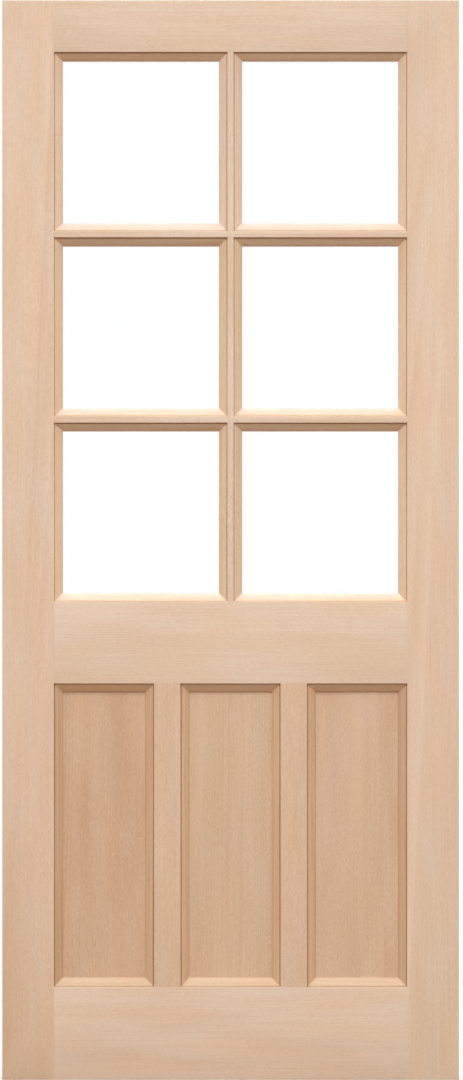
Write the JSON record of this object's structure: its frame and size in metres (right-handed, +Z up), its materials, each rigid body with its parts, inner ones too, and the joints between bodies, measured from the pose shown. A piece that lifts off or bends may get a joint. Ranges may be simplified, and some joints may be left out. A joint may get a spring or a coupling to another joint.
{
  "type": "part-glazed exterior door leaf",
  "caption": "Framed softwood exterior door leaf with small square lights above tall flat sunk panels, ovolo moulded, with sealed glass held by loose inside beads.",
  "frame": {"origin": "centre of the flat hinge edge, at mid height and mid thickness of the leaf", "axes": "+X from the hinge edge to the lock edge, +Y from the outside face to the inside face, +Z up"},
  "size_m": [0.838, 0.044, 1.981],
  "materials": {
    "framing_wood": "bare planed softwood",
    "panel_wood": "bare planed softwood",
    "bead_wood": "bare planed softwood",
    "clear_glass": "clear float",
    "spacer_metal": "mill"
  },
  "bodies": {
    "root": {"hinge_stile": "framing_wood", "lock_stile": "framing_wood", "top_rail": "framing_wood", "middle_rail": "framing_wood", "bottom_rail": "framing_wood", "left_muntin": "framing_wood", "right_muntin": "framing_wood", "vertical_glazing_bar": "framing_wood", "upper_left_glazing_bar": "framing_wood", "upper_right_glazing_bar": "framing_wood", "lower_left_glazing_bar": "framing_wood", "lower_right_glazing_bar": "framing_wood", "left_panel": "panel_wood", "middle_panel": "panel_wood", "right_panel": "panel_wood", "top_left_outer_pane": "clear_glass", "top_left_inner_pane": "clear_glass", "top_left_spacer": "spacer_metal", "top_left_glazing_beads": "bead_wood", "top_right_outer_pane": "clear_glass", "top_right_inner_pane": "clear_glass", "top_right_spacer": "spacer_metal", "top_right_glazing_beads": "bead_wood", "middle_left_outer_pane": "clear_glass", "middle_left_inner_pane": "clear_glass", "middle_left_spacer": "spacer_metal", "middle_left_glazing_beads": "bead_wood", "middle_right_outer_pane": "clear_glass", "middle_right_inner_pane": "clear_glass", "middle_right_spacer": "spacer_metal", "middle_right_glazing_beads": "bead_wood", "bottom_left_outer_pane": "clear_glass", "bottom_left_inner_pane": "clear_glass", "bottom_left_spacer": "spacer_metal", "bottom_left_glazing_beads": "bead_wood", "bottom_right_outer_pane": "clear_glass", "bottom_right_inner_pane": "clear_glass", "bottom_right_spacer": "spacer_metal", "bottom_right_glazing_beads": "bead_wood"}
  },
  "joints": []
}
